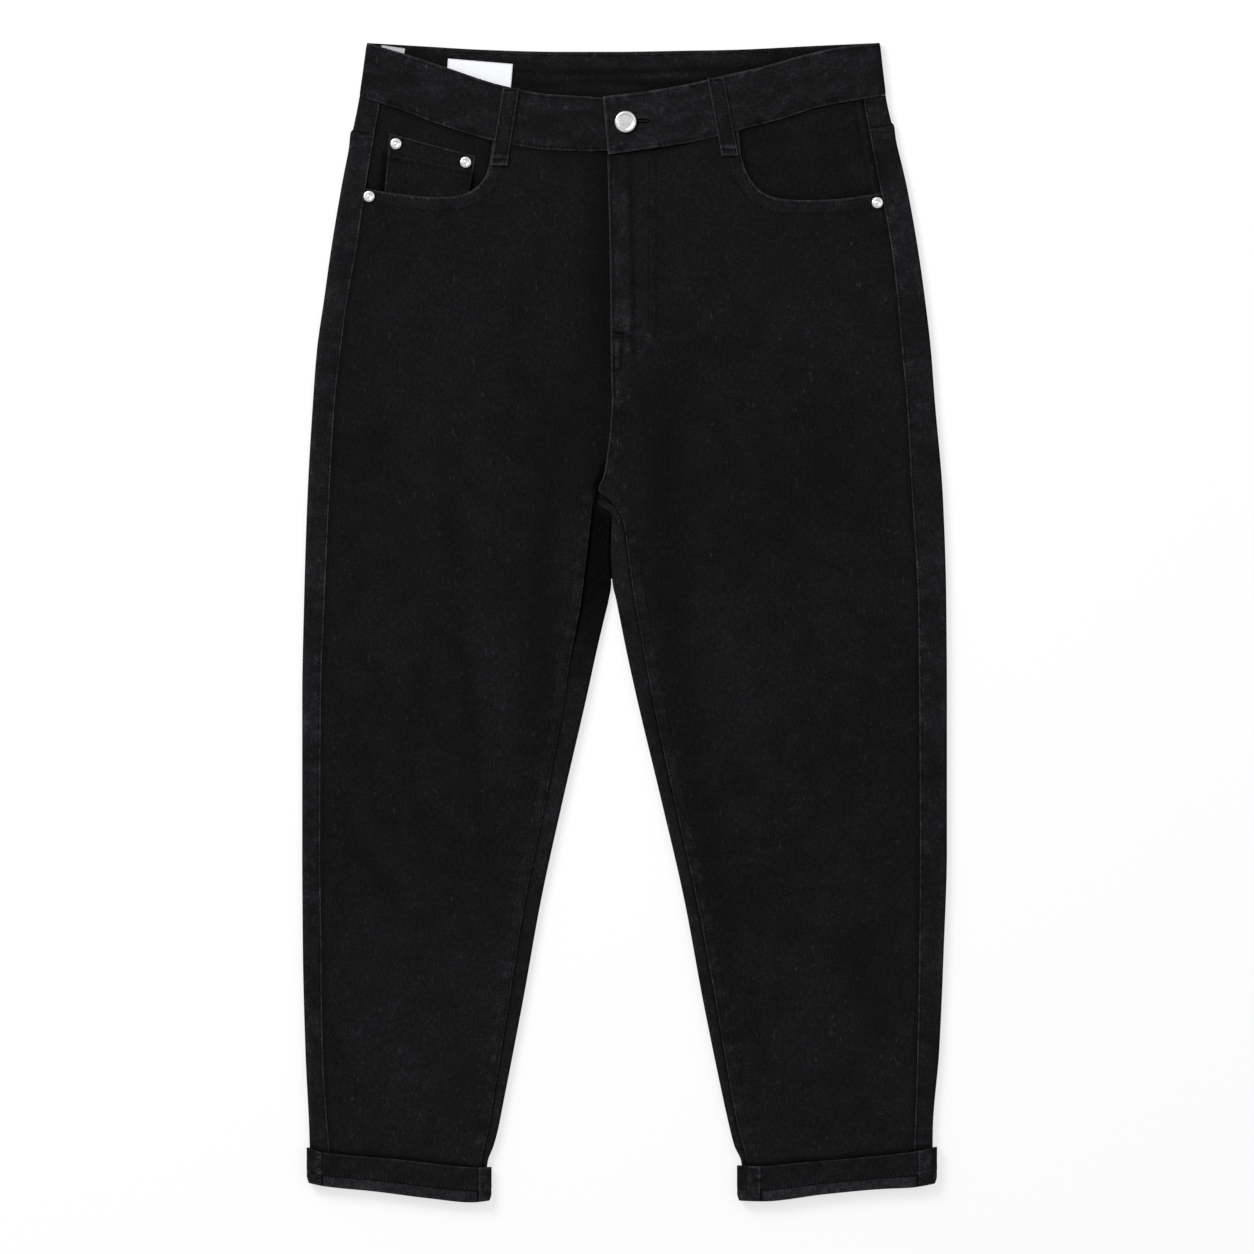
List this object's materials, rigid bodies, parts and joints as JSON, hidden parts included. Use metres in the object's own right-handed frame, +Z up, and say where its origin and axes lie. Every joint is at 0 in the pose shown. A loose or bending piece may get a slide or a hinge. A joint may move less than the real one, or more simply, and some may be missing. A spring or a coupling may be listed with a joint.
{
  "type": "mom jeans",
  "caption": "High-waisted cropped jeans laid flat, front up, with turned-up cuffs, fly front, coin pocket and scooped pockets.",
  "frame": {"origin": "middle of the bounding box at the surface that the jeans lie on", "axes": "+Y to the waist, +Z up from the surface, +X towards the wearer's left leg"},
  "size_m": [0.503, 0.9039, 0.0132],
  "materials": {
    "denim": "washed black denim, matt",
    "zip_tape": "woven tape, matt",
    "label": "white woven label, bare",
    "tab": "pale woven tab, bare",
    "metal": "brushed nickel plate"
  },
  "bodies": {
    "root": {"front_right": "denim", "front_left": "denim", "back_right": "denim", "back_left": "denim", "yoke_right": "denim", "yoke_left": "denim", "waistband": "denim", "cuff_right": "denim", "cuff_left": "denim", "coin_pocket": "denim", "pocket_facing_right": "denim", "pocket_facing_left": "denim", "back_pocket_right": "denim", "back_pocket_left": "denim", "belt_loop_front_right": "denim", "belt_loop_front_left": "denim", "belt_loop_back_right": "denim", "belt_loop_back_centre": "denim", "belt_loop_back_left": "denim", "zip": "zip_tape", "waist_label": "label", "side_tab": "tab", "button": "metal", "rivet_1": "metal", "rivet_2": "metal", "rivet_3": "metal", "rivet_4": "metal"}
  },
  "joints": []
}
